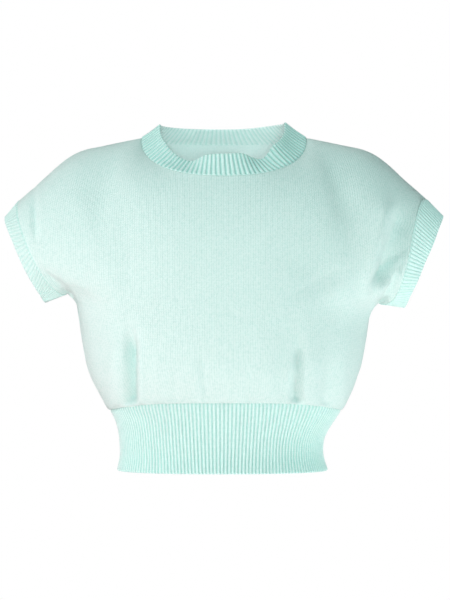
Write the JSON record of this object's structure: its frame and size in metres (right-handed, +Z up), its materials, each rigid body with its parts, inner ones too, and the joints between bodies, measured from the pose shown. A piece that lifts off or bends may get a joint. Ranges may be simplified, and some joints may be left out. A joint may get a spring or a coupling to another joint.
{
  "type": "sleeveless knitted pullover",
  "caption": "Hollow cropped pullover, filled out as worn, with a ribbed crew neckband, short grown-on shoulders with ribbed armbands and a deep ribbed waistband.",
  "frame": {"origin": "midway between the two points where the shoulder seams meet the neckband, in the plane of the side seams, where the wearer's shoulders carry it", "axes": "+Z up, +X towards the armband at the right of a picture of the front, -Y out of the front"},
  "size_m": [0.5643, 0.2266, 0.4464],
  "materials": {
    "jersey_knit": "fine soft jersey knit with a light nap, pale mint",
    "rib_knit": "one by one rib knit, pale mint, matt"
  },
  "bodies": {
    "root": {"front_body": "jersey_knit", "back_body": "jersey_knit", "front_waist_rib": "rib_knit", "back_waist_rib": "rib_knit", "neckband": "rib_knit", "left_armband": "rib_knit", "right_armband": "rib_knit"}
  },
  "joints": []
}
